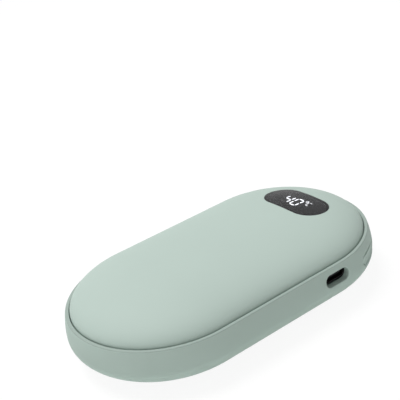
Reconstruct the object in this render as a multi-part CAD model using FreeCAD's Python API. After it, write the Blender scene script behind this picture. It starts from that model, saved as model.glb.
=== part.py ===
"""Rechargeable pocket hand warmer: a tub, an inset domed cover with a lit display, and what is inside.

Millimetres. The origin is the middle of the flat base, +Z points up through the cover,
+X points to the end with the display. The display reads along -Y with its top towards +X.
"""
import FreeCAD, Part
import math
import os
from FreeCAD import Vector

os.makedirs("parts", exist_ok=True)

# Housing: a stadium in plan, with a rounded base, a wall that leans in above its belt, and a domed cover
body_length = 109.0
body_width = 63.7
base_flat_width = 20.0
belt_height = 10.0
seam_height = 17.0
dome_rise = 7.8
shell_wall = 2.2
cover_wall = 1.8
lean_inset = 1.1
lean_height = 3.4
lip_run = 0.2
lip_edge_radius = 0.25
seam_gap = 0.27
skirt_depth = 2.2
lip_share = 0.1
mouth_share = 0.25
crown_handle_share = 1.0
edge_handle_share = 0.02
round_handle_share = 0.5523

# Clearances that serve every piece
overrun = 2.0
touch_gap = 0.05
pin_clearance = 0.03
pair_shares = (-0.5, 0.5)

# Snap hooks on the cover's skirt and the ribs that the skirt stands on
hook_reach = 0.55
hook_height = 1.0
hook_length = 6.0
hook_clearance = 0.12
hook_rise = 0.3
hook_spacing = 24.0
rib_thickness = 1.4
rib_reach = 1.7
rib_spacing = 14.0
rib_port_room = 8.2
rib_angles = (35.0, 72.0, 135.0, 180.0, 225.0)

# Window in the cover, its lens and the adhesive ring under the lens
window_inset = 20.9
window_length = 25.9
window_width = 13.25
lens_clearance = 0.1
lens_thickness = 0.5
tape_thickness = 0.05
ledge_width = 1.0

# Light box under the lens and its seven-segment reading
frame_clearance = 0.25
frame_wall = 1.0
frame_top_thickness = 1.4
well_divider = 0.5
digit_height = 5.4
digit_width = 3.5
digit_stroke = 0.85
digit_gap = 0.3
digit_pitch = 4.1
digits_shift = 1.33
digits_drop = 0.28
small_height = 2.7
small_width = 2.0
small_stroke = 0.55
small_place = 4.95
small_raise = 1.2
degree_diameter = 1.15
degree_stroke = 0.36
degree_place = 3.3
degree_raise = 2.25
bridge_width = 0.3
led_length = 1.6
led_width = 0.8
led_height = 0.6

# Charging socket in the long wall
port_inset = 33.92
port_z = 12.85
port_length = 9.5
port_height = 4.1
port_edge_radius = 0.2
port_setback = 2.2
socket_length = 8.94
socket_height = 3.16
socket_depth = 7.35
socket_wall = 0.3
socket_back = 1.6
tongue_width = 6.69
tongue_thickness = 0.7
tongue_setback = 0.6
contact_count = 12
contact_pitch = 0.5
contact_width = 0.26
contact_length = 4.2
contact_thickness = 0.06

# Power button on the shoulder and the switch behind it
button_angle = -55.4
button_z = 11.15
button_length = 14.7
button_height = 3.1
button_gap = 0.15
button_recess = 0.35
button_edge_radius = 0.3
button_dish = 0.2
button_travel = 0.4
button_opening_radius = 0.8
flange_margin = 0.95
flange_thickness = 1.1
flange_gap = 0.4
stem_reach = 2.8
stem_width = 3.0
stem_height = 1.7
stem_gap = 0.05
switch_width = 6.0
switch_depth = 3.5
switch_height = 3.0
plunger_width = 2.6
plunger_height = 1.4
plunger_reach = 0.8
plunger_engagement = 1.0
plunger_clearance = 0.1

# Strap slot in the tip, with a steel pin across it
strap_z = 12.0
strap_length = 14.6
strap_height = 2.6
strap_depth = 4.6
strap_wall = 1.4
strap_edge_radius = 0.35
strap_pin_diameter = 1.8
strap_pin_setback = 2.3
strap_pin_seat = 1.0

# Two cylindrical cells side by side, with their strips, pads and leads
cell_diameter = 18.4
cell_end_room = 14.5
cell_gap = 0.4
cell_board_gap = 1.1
cell_floor_gap = 0.15
cell_cap_diameter = 8.0
cell_cap_height = 0.8
cell_groove_place = 3.2
cell_groove_depth = 0.6
cell_groove_width = 1.4
cell_edge_radius = 0.8
strip_thickness = 0.2
strip_height = 4.0
strip_margin = 4.0
pad_thickness = 0.4
pad_width = 3.6
lead_diameter = 1.2
lead_bend = 1.6
lead_drop = 5.0
lead_foot = 1.7
tab_width = 2.6
tab_place = 16.6
tab_reach = 2.4
saddle_inset = 6.5
saddle_thickness = 2.0
saddle_gap = 1.0
saddle_clearance = 0.1
saddle_drop = 3.0
saddle_notch = 6.0

# Heating films on their metal spreaders, one under the cover and one on the base
heater_width = 38.0
heater_corner = 5.0
heater_thickness = 0.2
spreader_margin = 1.0
spreader_thickness = 0.4
heater_lead_diameter = 1.0
heater_lead_overlap = 5.0
front_lead_spread = 28.0
rear_lead_spread = 3.2
front_lead_drop = 0.95
front_lead_inset = 2.3
rear_lead_inset = 1.7
thermistor_diameter = 2.0
thermistor_lead_diameter = 0.5
thermistor_lead_spread = 0.9
thermistor_lead_inset = 3.7

# Circuit board in the display end, its fasteners and its larger components
board_thickness = 1.6
board_start_inset = 26.2
board_end_inset = 8.1
board_margin = 4.2
ear_side = 0.93
ear_overlap = 1.7
ear_margin = 4.8
ear_cell_gap = 1.0
left_screw_inset = 3.2
left_screw_y = 20.5
right_screw_inset = 1.9
right_screw_y = 17.4
tip_screw_inset = 3.2
tip_screw_y = 9.0
screw_diameter = 1.9
screw_length = 6.0
screw_head_diameter = 3.6
screw_head_height = 1.3
screw_hole_clearance = 0.2
boss_diameter = 4.8
boss_floor = 1.5
chip_height = 1.5
chip_lead_length = 1.0
chip_lead_width = 0.45
chip_lead_pitch = 1.27
controller_inset = 5.7
controller_y = 6.0
controller_length = 10.0
controller_width = 3.9
controller_lead_count = 8
charger_inset = 6.7
charger_y = 6.0
charger_length = 5.0
charger_width = 3.9
charger_lead_count = 4
coil_inset = 3.8
coil_side = 6.6
coil_height = 3.6
coil_corner = 1.6
capacitor_inset = 2.7
capacitor_y = 12.2
capacitor_step = 3.5
capacitor_row = 3.0
capacitor_step_shares = ((0, 0), (1, 0), (2, 0), (1, 1), (2, 1))
capacitor_length = 2.0
capacitor_width = 1.25
capacitor_height = 1.1

# Places that follow from the sizes above
end_radius = body_width / 2
tip = body_length / 2
spine = tip - end_radius
base_flat = base_flat_width / 2
inner_radius = end_radius - shell_wall
mouth_start = end_radius - mouth_share * shell_wall
cover_radius = inner_radius - seam_gap
crown_height = seam_height + dome_rise
window_x = tip - window_inset
port_x = tip - port_inset
skirt_bottom = seam_height - skirt_depth
ledge_inset = lens_thickness + tape_thickness
heater_stack = touch_gap + spreader_thickness + touch_gap + heater_thickness
cell_radius = cell_diameter / 2
cell_y = cell_radius + cell_gap / 2
cell_z = shell_wall + heater_stack + cell_floor_gap + cell_radius
board_start = tip - board_start_inset
board_end = tip - board_end_inset
board_radius = end_radius - board_margin
cell_start = shell_wall + cell_end_room - tip
cell_end = board_start - cell_board_gap
cell_length = cell_end - cell_start
heater_x = cell_start + cell_length / 2
saddle_offset = cell_length / 2 - saddle_inset
spreader_length = 2 * (saddle_offset - saddle_thickness / 2 - saddle_gap)
heater_length = spreader_length - 2 * spreader_margin
lead_radius = lead_diameter / 2
board_top = port_z - socket_height / 2
board_bottom = board_top - board_thickness
lead_z = cell_z - lead_drop
button_face = end_radius - button_recess
flange_outer = inner_radius - flange_gap
flange_inner = flange_outer - flange_thickness
stem_tip = flange_inner - stem_reach
stem_z = board_top + switch_height / 2
front_lead_x = board_start + front_lead_inset
rear_lead_x = board_start + rear_lead_inset
thermistor_lead_x = board_start + thermistor_lead_inset
digits_x = window_x - digits_drop
digit_places = (digits_shift + digit_pitch / 2, digits_shift - digit_pitch / 2)
screw_places = (
    (board_start + left_screw_inset, left_screw_y),
    (board_start + right_screw_inset, -right_screw_y),
    (board_end - tip_screw_inset, tip_screw_y),
    (board_end - tip_screw_inset, -tip_screw_y),
)
controller_place = (board_start + controller_inset, controller_y)
charger_place = (board_start + charger_inset, -charger_y)

origin = Vector(0, 0, 0)
x_axis = Vector(1, 0, 0)
z_axis = Vector(0, 0, 1)


def straight(start, end):
    """Straight edge of a half section, between two (radius, height) points."""
    return Part.makeLine(Vector(start[0], 0, start[1]), Vector(end[0], 0, end[1]))


def rounded(start, corner, end, start_share=round_handle_share, end_share=round_handle_share):
    """Smooth edge of a half section that leaves start and reaches end along the lines to their corner."""
    first = Vector(start[0], 0, start[1])
    middle = Vector(corner[0], 0, corner[1])
    last = Vector(end[0], 0, end[1])
    curve = Part.BezierCurve()
    curve.setPoles([first, first + (middle - first) * start_share, last + (middle - last) * end_share, last])
    return curve.toShape()


def stadium_solid(edges):
    """Half section swept along both long sides and turned round both ends of the stadium."""
    section = Part.Face(Part.Wire(edges))
    near = section.copy()
    near.rotate(origin, z_axis, -90)
    far = section.copy()
    far.rotate(origin, z_axis, 90)
    right_end = near.revolve(origin, z_axis, 180)
    right_end.translate(Vector(spine, 0, 0))
    left_end = far.revolve(origin, z_axis, 180)
    left_end.translate(Vector(-spine, 0, 0))
    sides = []
    for face in (near, far):
        side = face.copy()
        side.translate(Vector(-spine, 0, 0))
        sides.append(side.extrude(Vector(2 * spine, 0, 0)))
    return right_end.multiFuse([left_end] + sides).removeSplitter().Solids[0]


def below_dome(inset):
    """Everything under the cover's outer surface, moved in by inset."""
    radius = cover_radius - inset
    top = crown_height - inset
    return stadium_solid([
        straight((0, 0), (radius, 0)),
        straight((radius, 0), (radius, seam_height)),
        rounded((radius, seam_height), (radius, top), (0, top), edge_handle_share, crown_handle_share),
        straight((0, top), (0, 0)),
    ])


def inside_tub(inset):
    """Everything inside the tub's outer surface, moved in by inset."""
    radius = end_radius - inset
    return stadium_solid([
        straight((0, inset), (base_flat, inset)),
        rounded((base_flat, inset), (radius, inset), (radius, belt_height)),
        straight((radius, belt_height), (radius, seam_height)),
        straight((radius, seam_height), (0, seam_height)),
        straight((0, seam_height), (0, inset)),
    ])


def pill(length, width, height):
    """Upright bar with half-round ends, its length along X, standing on the origin."""
    radius = width / 2
    half = (length - width) / 2
    edges = [
        Part.makeLine(Vector(-half, -radius, 0), Vector(half, -radius, 0)),
        Part.Arc(Vector(half, -radius, 0), Vector(half + radius, 0, 0), Vector(half, radius, 0)).toShape(),
        Part.makeLine(Vector(half, radius, 0), Vector(-half, radius, 0)),
        Part.Arc(Vector(-half, radius, 0), Vector(-half - radius, 0, 0), Vector(-half, -radius, 0)).toShape(),
    ]
    return Part.Face(Part.Wire(edges)).extrude(Vector(0, 0, height))


def window_pill(margin, low, high):
    """Upright pill on the window's centre, smaller than the window by margin on every side."""
    shape = pill(window_length - 2 * margin, window_width - 2 * margin, high - low)
    shape.rotate(origin, z_axis, 90)
    shape.translate(Vector(window_x, 0, low))
    return shape


def wall_bar(length, height, near, far, z):
    """Pill that lies along -Y between two distances from the Z axis, with its middle at height z."""
    shape = pill(length, height, far - near)
    shape.rotate(origin, x_axis, 90)
    shape.translate(Vector(0, -near, z))
    return shape


def block(low, high):
    """Box between two corners."""
    size = Vector(*high) - Vector(*low)
    return Part.makeBox(size.x, size.y, size.z, Vector(*low))


def tube(inner, outer, low, high):
    """Upright ring round the Z axis."""
    wall = Part.makeCylinder(outer, high - low, Vector(0, 0, low))
    return wall.cut(Part.makeCylinder(inner, high - low, Vector(0, 0, low)))


def turn_to_wall(shape, angle):
    """Move a piece made against the -Y side to an angle on the wall of the display end."""
    shape.rotate(origin, z_axis, angle + 90)
    shape.translate(Vector(spine, 0, 0))
    return shape


def soften(shape, near, size):
    """Round the edges of shape whose middles lie in the solid near."""
    edges = [edge for edge in shape.Edges if near.isInside(edge.CenterOfMass, touch_gap, True)]
    return shape.makeFillet(size, edges)


def wire(points, diameter, bend):
    """Round lead along straight runs that are joined by tangent arcs."""
    nodes = [Vector(*point) for point in points]
    edges = []
    last = nodes[0]
    for before, corner, after in zip(nodes, nodes[1:], nodes[2:]):
        arriving = (corner - before).normalize()
        leaving = (after - corner).normalize()
        turn = arriving.getAngle(leaving)
        reach = bend * math.tan(turn / 2)
        start = corner - arriving * reach
        end = corner + leaving * reach
        inward = (leaving - arriving).normalize()
        middle = corner + inward * (bend / math.cos(turn / 2) - bend)
        edges.append(Part.makeLine(last, start))
        edges.append(Part.Arc(start, middle, end).toShape())
        last = end
    edges.append(Part.makeLine(last, nodes[-1]))
    ring = Part.makeCircle(diameter / 2, nodes[0], nodes[1] - nodes[0])
    return Part.Wire(edges).makePipeShell([Part.Wire([ring])], True, False)


def save(name, shape):
    """Write one piece, or one group of like pieces, under its name."""
    shape.exportStep("parts/" + name + ".step")
    solids = shape.Solids
    print(name, len(solids), "solids", round(sum(solid.Volume for solid in solids), 2), "mm3",
          "valid" if shape.isValid() else "NOT VALID")


def tub_wall():
    """Base and side wall in one section: the wall leans in above the belt to a thin lip beside the seam."""
    crest = end_radius - lean_inset
    knee_height = seam_height - lean_height
    lip_start = (crest + lip_share * lean_inset, seam_height - lip_share * lean_height)
    lip_end = crest - lip_run
    edge_start = inner_radius + lip_edge_radius
    edge_end = seam_height - lip_edge_radius
    return stadium_solid([
        straight((0, 0), (base_flat, 0)),
        rounded((base_flat, 0), (end_radius, 0), (end_radius, belt_height)),
        rounded((end_radius, belt_height), (end_radius, knee_height), lip_start),
        rounded(lip_start, (crest, seam_height), (lip_end, seam_height)),
        straight((lip_end, seam_height), (edge_start, seam_height)),
        rounded((edge_start, seam_height), (inner_radius, seam_height), (inner_radius, edge_end)),
        straight((inner_radius, edge_end), (inner_radius, belt_height)),
        rounded((inner_radius, belt_height), (inner_radius, shell_wall), (base_flat, shell_wall)),
        straight((base_flat, shell_wall), (0, shell_wall)),
        straight((0, shell_wall), (0, 0)),
    ])


def port_slot(shape):
    """Slot for the charging plug, with a rounded mouth."""
    slot = wall_bar(port_length, port_height, inner_radius - overrun, end_radius + overrun, port_z)
    slot.translate(Vector(port_x, 0, 0))
    mouth = wall_bar(port_length + overrun, port_height + overrun, mouth_start, end_radius + overrun, port_z)
    mouth.translate(Vector(port_x, 0, 0))
    return soften(shape.cut(slot), mouth, port_edge_radius)


def button_opening(shape):
    """Opening for the power button, with a soft rolled edge."""
    length = button_length + 2 * button_gap
    height = button_height + 2 * button_gap
    opening = wall_bar(length, height, inner_radius - overrun, end_radius + overrun, button_z)
    reach = wall_bar(length + overrun, height + overrun, inner_radius, end_radius + overrun, button_z)
    mouth = reach.common(tube(mouth_start, end_radius + overrun, 0, seam_height))
    turn_to_wall(opening, button_angle)
    turn_to_wall(mouth, button_angle)
    return soften(shape.cut(opening), mouth, button_opening_radius)


def strap_pocket(shape):
    """Blind slot in the tip for a wrist strap, in a pocket of its own inside the wall."""
    body = wall_bar(strap_length + 2 * strap_wall, strap_height + 2 * strap_wall,
                    end_radius - strap_depth - strap_wall, end_radius, strap_z)
    turn_to_wall(body, 0)
    slot = wall_bar(strap_length, strap_height, end_radius - strap_depth, end_radius + overrun, strap_z)
    turn_to_wall(slot, 0)
    reach = wall_bar(strap_length + overrun, strap_height + overrun, inner_radius,
                     end_radius + overrun, strap_z)
    mouth = reach.common(tube(mouth_start, end_radius + overrun, 0, seam_height))
    turn_to_wall(mouth, 0)
    filled = shape.fuse(body.common(inside_tub(shell_wall / 2)))
    return soften(filled.cut(slot), mouth, strap_edge_radius)


def strap_pin_shape(extra):
    """Upright pin across the strap slot, wider by extra all round."""
    low = strap_z - strap_height / 2 - strap_pin_seat
    high = strap_z + strap_height / 2 + strap_wall
    place = Vector(spine + end_radius - strap_pin_setback, 0, low)
    return Part.makeCylinder(strap_pin_diameter / 2 + extra, high - low, place)


def rest_ribs():
    """Upright ribs inside the wall that carry the cover's skirt."""
    rib = block((-rib_thickness / 2, -end_radius, 0),
                (rib_thickness / 2, rib_reach - inner_radius, skirt_bottom))
    ribs = []
    for side in (0, 180):
        for step in (0, 1, 2):
            copy = rib.copy()
            copy.rotate(origin, z_axis, side)
            copy.translate(Vector(port_x - rib_port_room - step * rib_spacing, 0, 0))
            ribs.append(copy)
    for angle in rib_angles:
        copy = rib.copy()
        copy.rotate(origin, z_axis, angle + 90)
        copy.translate(Vector(math.copysign(spine, math.cos(math.radians(angle))), 0, 0))
        ribs.append(copy)
    keep = inside_tub(shell_wall / 2)
    return [piece.common(keep) for piece in ribs]


def screw_bosses():
    """Round posts under the circuit board."""
    keep = inside_tub(shell_wall / 2)
    posts = []
    for x, y in screw_places:
        post = Part.makeCylinder(boss_diameter / 2, board_bottom, Vector(x, y, 0))
        posts.append(post.common(keep))
    return posts


def screw_pilots():
    """Holes for the screws in the tops of the posts."""
    radius = screw_diameter / 2 + pin_clearance
    depth = screw_length - board_thickness + boss_floor
    return [Part.makeCylinder(radius, depth, Vector(x, y, board_bottom - depth)) for x, y in screw_places]


def cell_cradles():
    """Two cross ribs on the base with a round seat for each cell and a gap for leads in the middle."""
    half = 2 * cell_radius + cell_gap
    top = cell_z - saddle_drop
    keep = inside_tub(shell_wall / 2)
    cradles = []
    for side in (-1, 1):
        middle = heater_x + side * saddle_offset
        low = middle - saddle_thickness / 2
        high = middle + saddle_thickness / 2
        rib = block((low, -half, 0), (high, half, top)).common(keep)
        for place in (-cell_y, cell_y):
            centre = Vector(low, place, cell_z)
            rib = rib.cut(Part.makeCylinder(cell_radius + saddle_clearance, saddle_thickness, centre, x_axis))
        cradles.append(rib.cut(block((low, -saddle_notch / 2, shell_wall), (high, saddle_notch / 2, top))))
    return cradles


def hook_ring(extra):
    """Bead with sloped flanks round the skirt, wider by extra all round."""
    low = skirt_bottom + hook_rise - extra
    high = skirt_bottom + hook_rise + hook_height + extra
    root = cover_radius - cover_wall / 2
    reach = cover_radius + hook_reach + extra
    slope = hook_height / 2
    return stadium_solid([
        straight((root, low), (cover_radius, low)),
        straight((cover_radius, low), (reach, low + slope)),
        straight((reach, low + slope), (reach, high - slope / 2)),
        straight((reach, high - slope / 2), (cover_radius, high)),
        straight((cover_radius, high), (root, high)),
        straight((root, high), (root, low)),
    ])


def hook_zones(extra):
    """Short stretches of the seam where the cover snaps in."""
    half = hook_length / 2 + extra
    zones = []
    for place in (-hook_spacing / 2, hook_spacing / 2 - hook_length):
        zones.append(block((place - half, -end_radius, 0), (place + half, end_radius, crown_height)))
    zones.append(block((-tip, -half, 0), (tip, half, crown_height)))
    return zones[0].multiFuse(zones[1:])


def rear_shell():
    """Tub with its openings, posts, cradles and ribs."""
    shape = tub_wall()
    shape = port_slot(shape)
    shape = button_opening(shape)
    shape = strap_pocket(shape)
    shape = shape.multiFuse(rest_ribs() + screw_bosses() + cell_cradles())
    cuts = screw_pilots() + [strap_pin_shape(pin_clearance)]
    cuts.append(hook_ring(hook_clearance).common(hook_zones(hook_clearance)))
    for cut in cuts:
        shape = shape.cut(cut)
    return shape


def front_cover():
    """Domed lid with its skirt, its snap hooks and the stepped window."""
    inner = cover_radius - cover_wall
    top = crown_height - cover_wall
    shape = stadium_solid([
        straight((cover_radius, skirt_bottom), (cover_radius, seam_height)),
        rounded((cover_radius, seam_height), (cover_radius, crown_height), (0, crown_height),
                edge_handle_share, crown_handle_share),
        straight((0, crown_height), (0, top)),
        rounded((0, top), (inner, top), (inner, seam_height), crown_handle_share, edge_handle_share),
        straight((inner, seam_height), (inner, skirt_bottom)),
        straight((inner, skirt_bottom), (cover_radius, skirt_bottom)),
    ])
    shape = shape.fuse(hook_ring(0).common(hook_zones(0)))
    recess = window_pill(0, seam_height, crown_height + overrun).cut(below_dome(ledge_inset))
    opening = window_pill(ledge_width, seam_height, crown_height + overrun)
    return shape.cut(recess).cut(opening)


def display_lens():
    """Smoked lens, flush with the dome."""
    blank = window_pill(lens_clearance, seam_height, crown_height + overrun)
    return blank.common(below_dome(0)).cut(below_dome(lens_thickness))


def lens_tape():
    """Adhesive ring between the lens and its ledge."""
    ring = window_pill(lens_clearance, seam_height, crown_height + overrun)
    ring = ring.cut(window_pill(ledge_width, seam_height, crown_height + overrun))
    return ring.common(below_dome(lens_thickness)).cut(below_dome(ledge_inset))


def segment_bar(length, stroke):
    """Flat bar along X with ends cut to a point, one stroke wide and square to Z."""
    half = length / 2
    side = stroke / 2
    shoulder = half - side
    corners = [(-half, 0), (-shoulder, -side), (shoulder, -side),
               (half, 0), (shoulder, side), (-shoulder, side)]
    points = [Vector(x, y, 0) for x, y in corners]
    face = Part.Face(Part.makePolygon(points + points[:1]))
    return face.extrude(Vector(0, 0, dome_rise))


def digit_segments(height, width, strokes):
    """Strokes of one figure, upright along X and read along -Y, by their usual letters."""
    rise = (height - digit_stroke) / 2
    run = (width - digit_stroke) / 2
    places = {
        "a": (rise, 0, False), "d": (-rise, 0, False), "g": (0, 0, False),
        "f": (rise / 2, run, True), "e": (-rise / 2, run, True),
        "b": (rise / 2, -run, True), "c": (-rise / 2, -run, True),
    }
    bars = []
    for letter in strokes:
        x, y, upright = places[letter]
        bar = segment_bar((rise if upright else 2 * run) - digit_gap, digit_stroke)
        if not upright:
            bar.rotate(origin, z_axis, 90)
        bar.translate(Vector(x, y, 0))
        bars.append(bar)
    return bars


def small_figure():
    """Small open C after the number: three strokes and no right side."""
    rise = (small_height - small_stroke) / 2
    run = (small_width - small_stroke) / 2
    side = segment_bar(2 * rise - digit_gap, small_stroke)
    side.translate(Vector(0, run, 0))
    bars = [side]
    for x in (rise, -rise):
        bar = segment_bar(2 * run - digit_gap, small_stroke)
        bar.rotate(origin, z_axis, 90)
        bar.translate(Vector(x, 0, 0))
        bars.append(bar)
    return bars


def degree_ring():
    """Ring of the degree sign, with a low gap where the light box holds the ring's middle."""
    outer = degree_diameter / 2
    ring = tube(outer - degree_stroke, outer, seam_height, crown_height)
    x = window_x + degree_raise
    ring.translate(Vector(x, -degree_place, 0))
    bridge = block((x - outer, -degree_place - bridge_width / 2, seam_height),
                   (x + outer, bridge_width / 2 - degree_place, crown_height))
    return ring.cut(bridge.common(below_dome(ledge_inset + frame_top_thickness / 2)))


def lit_bars():
    """Every stroke that shines: 40 degrees C."""
    bars = []
    for place, strokes in zip(digit_places, ("bcfg", "abcdef")):
        for bar in digit_segments(digit_height, digit_width, strokes):
            bar.translate(Vector(digits_x, place, seam_height))
            bars.append(bar)
    for bar in small_figure():
        bar.translate(Vector(window_x + small_raise, -small_place, seam_height))
        bars.append(bar)
    return bars + [degree_ring()]


def unlit_bars():
    """Strokes of the two figures that stay dark."""
    bars = []
    for place, strokes in zip(digit_places, ("ade", "g")):
        for bar in digit_segments(digit_height, digit_width, strokes):
            bar.translate(Vector(digits_x, place, seam_height))
            bars.append(bar)
    return bars


def display_pieces():
    """Light box that stands on the board, and the strokes set into its top."""
    top = below_dome(ledge_inset)
    under = below_dome(ledge_inset + frame_top_thickness)
    plate = top.cut(under)
    outside = ledge_width + frame_clearance
    lit = [bar.common(plate) for bar in lit_bars()]
    unlit = [bar.common(plate) for bar in unlit_bars()]
    frame = window_pill(outside, board_top, crown_height).common(top)
    well = window_pill(outside + frame_wall, board_top, crown_height).common(under)
    for y in (digits_shift, digits_shift - digit_pitch):
        low = (window_x - window_width / 2, y - well_divider / 2, board_top)
        high = (window_x + window_width / 2, y + well_divider / 2, crown_height)
        well = well.cut(block(low, high))
    frame = frame.cut(well)
    for bar in lit + unlit:
        frame = frame.cut(bar)
    return frame, Part.makeCompound(lit), Part.makeCompound(unlit)


def display_leds():
    """Light chips on the board, two under each figure and one under the small signs."""
    places = [(digits_x + side * digit_height / 4, y) for y in digit_places for side in (-1, 1)]
    places.append((window_x + small_raise, -small_place))
    chips = []
    for x, y in places:
        low = (x - led_length / 2, y - led_width / 2, board_top)
        high = (x + led_length / 2, y + led_width / 2, board_top + led_height)
        chips.append(block(low, high))
    return Part.makeCompound(chips)


def main_board():
    """Circuit board: a cut round in the display end, with an ear that carries the charging socket."""
    disc = Part.makeCylinder(board_radius, board_thickness, Vector(spine, 0, board_bottom))
    disc = disc.common(block((board_start, -end_radius, 0), (board_end, end_radius, crown_height)))
    ear_start = port_x - socket_length / 2 - ear_side
    ear_inner = -cell_y - cell_radius - ear_cell_gap
    ear = block((ear_start, ear_margin - end_radius, board_bottom),
                (board_start + ear_overlap, ear_inner, board_top))
    board = disc.fuse(ear)
    radius = screw_diameter / 2 + screw_hole_clearance
    for x, y in screw_places:
        board = board.cut(Part.makeCylinder(radius, board_thickness, Vector(x, y, board_bottom)))
    return board.removeSplitter()


def board_screws():
    """Pan-head screws that hold the board to its posts."""
    screws = []
    head = screw_head_diameter / 2
    for x, y in screw_places:
        edges = [
            straight((0, board_top + screw_head_height), (head / 2, board_top + screw_head_height)),
            rounded((head / 2, board_top + screw_head_height), (head, board_top + screw_head_height),
                    (head, board_top)),
            straight((head, board_top), (screw_diameter / 2, board_top)),
            straight((screw_diameter / 2, board_top), (screw_diameter / 2, board_top - screw_length)),
            straight((screw_diameter / 2, board_top - screw_length), (0, board_top - screw_length)),
            straight((0, board_top - screw_length), (0, board_top + screw_head_height)),
        ]
        screw = Part.Face(Part.Wire(edges)).revolve(origin, z_axis, 360)
        screw.translate(Vector(x, y, 0))
        screws.append(screw)
    return Part.makeCompound(screws)


def socket_pieces():
    """Charging socket: a drawn metal shell, the moulded core with its tongue, and the contacts."""
    front = end_radius - port_setback
    back = front - socket_depth
    inner_length = socket_length - 2 * socket_wall
    inner_height = socket_height - 2 * socket_wall
    shell = wall_bar(socket_length, socket_height, back, front, port_z)
    shell = shell.cut(wall_bar(inner_length, inner_height, back, front + overrun, port_z))
    core = wall_bar(inner_length, inner_height, back, back + socket_back, port_z)
    tongue_front = front - tongue_setback
    tongue = block((-tongue_width / 2, -tongue_front, port_z - tongue_thickness / 2),
                   (tongue_width / 2, -back - socket_back / 2, port_z + tongue_thickness / 2))
    core = core.fuse(tongue)
    contacts = []
    start = contact_pitch / 2 - contact_count * contact_pitch / 2
    contact_front = tongue_front - tongue_setback
    for index in range(contact_count):
        x = start + index * contact_pitch
        for level in (port_z + tongue_thickness / 2, port_z - tongue_thickness / 2 - contact_thickness):
            low = (x - contact_width / 2, -contact_front, level)
            high = (x + contact_width / 2, contact_length - contact_front, level + contact_thickness)
            contacts.append(block(low, high))
    pieces = (shell, core, Part.makeCompound(contacts))
    for piece in pieces:
        piece.translate(Vector(port_x, 0, 0))
    return pieces


def power_button():
    """Dished cap with a retaining flange and the stem that pushes the switch."""
    cap = wall_bar(button_length, button_height, flange_inner, end_radius, button_z)
    cap = cap.common(tube(flange_inner, button_face, 0, seam_height))
    reach = wall_bar(button_length + overrun, button_height + overrun, flange_inner, end_radius, button_z)
    rim = reach.common(tube(button_face - touch_gap, end_radius, 0, seam_height))
    cap = soften(cap, rim, button_edge_radius)
    half = button_height / 2 - button_edge_radius
    hollow = (half ** 2 + button_dish ** 2) / (2 * button_dish)
    cap = cap.cut(Part.makeTorus(button_face - button_dish + hollow, hollow, Vector(0, 0, button_z)))
    flange = wall_bar(button_length + 2 * flange_margin, button_height + 2 * flange_margin,
                      flange_inner - overrun, end_radius, button_z)
    flange = flange.common(tube(flange_inner, flange_outer, 0, seam_height))
    stem = block((-stem_width / 2, -flange_inner - flange_thickness / 2, stem_z - stem_height / 2),
                 (stem_width / 2, -stem_tip, stem_z + stem_height / 2))
    return turn_to_wall(cap.fuse(flange).fuse(stem).removeSplitter(), button_angle)


def switch_pieces():
    """Side-push switch on the board and its plunger."""
    front = stem_tip - stem_gap - plunger_reach
    body = block((-switch_width / 2, -front, board_top),
                 (switch_width / 2, switch_depth - front, board_top + switch_height))
    pocket_depth = plunger_engagement + button_travel + plunger_clearance
    wide = plunger_width / 2 + plunger_clearance
    tall = plunger_height / 2 + plunger_clearance
    body = body.cut(block((-wide, -front - overrun, stem_z - tall),
                          (wide, pocket_depth - front, stem_z + tall)))
    plunger = block((-plunger_width / 2, -front - plunger_reach, stem_z - plunger_height / 2),
                    (plunger_width / 2, plunger_engagement - front, stem_z + plunger_height / 2))
    return turn_to_wall(body, button_angle), turn_to_wall(plunger, button_angle)


def battery_cell(side):
    """One cylindrical cell: rounded can, crimp groove near its raised end."""
    can_end = cell_length - cell_cap_height
    groove_end = can_end - cell_groove_place
    groove_middle = groove_end - cell_groove_width / 2
    groove_start = groove_end - cell_groove_width
    groove_floor = cell_radius - cell_groove_depth
    edge = cell_edge_radius
    edges = [
        straight((0, 0), (cell_radius - edge, 0)),
        rounded((cell_radius - edge, 0), (cell_radius, 0), (cell_radius, edge)),
        straight((cell_radius, edge), (cell_radius, groove_start)),
        rounded((cell_radius, groove_start), (groove_floor, groove_start), (groove_floor, groove_middle)),
        rounded((groove_floor, groove_middle), (groove_floor, groove_end), (cell_radius, groove_end)),
        straight((cell_radius, groove_end), (cell_radius, can_end - edge)),
        rounded((cell_radius, can_end - edge), (cell_radius, can_end), (cell_radius - edge, can_end)),
        straight((cell_radius - edge, can_end), (cell_cap_diameter / 2, can_end)),
        straight((cell_cap_diameter / 2, can_end), (cell_cap_diameter / 2, cell_length)),
        straight((cell_cap_diameter / 2, cell_length), (0, cell_length)),
        straight((0, cell_length), (0, 0)),
    ]
    cell = Part.Face(Part.Wire(edges)).revolve(origin, z_axis, 360)
    cell.rotate(origin, Vector(0, 1, 0), 90)
    cell.translate(Vector(cell_start, side * cell_y, cell_z))
    return cell


def cell_strip(start):
    """Nickel strip across the ends of both cells."""
    half = cell_y + strip_margin
    return block((start, -half, cell_z - strip_height / 2),
                 (start + strip_thickness, half, cell_z + strip_height / 2))


def positive_strip():
    """Strip on the raised ends, with a tab that lies on the board."""
    strip = cell_strip(cell_end)
    arm = block((cell_end, cell_y, board_top),
                (cell_end + strip_thickness, tab_place + tab_width / 2, cell_z + strip_height / 2))
    tab = block((cell_end, tab_place - tab_width / 2, board_top),
                (board_start + tab_reach, tab_place + tab_width / 2, board_top + strip_thickness))
    return strip.fuse(arm).fuse(tab).removeSplitter()


def negative_lead():
    """Lead from the far strip along the valley under the cells to the underside of the board."""
    start = cell_start - strip_thickness - lead_radius - touch_gap
    high = cell_z + strip_height / 2
    foot = board_start + lead_foot
    points = [(start, 0, high), (start, 0, lead_z), (foot, 0, lead_z), (foot, 0, board_bottom)]
    return wire(points, lead_diameter, lead_bend)


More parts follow.
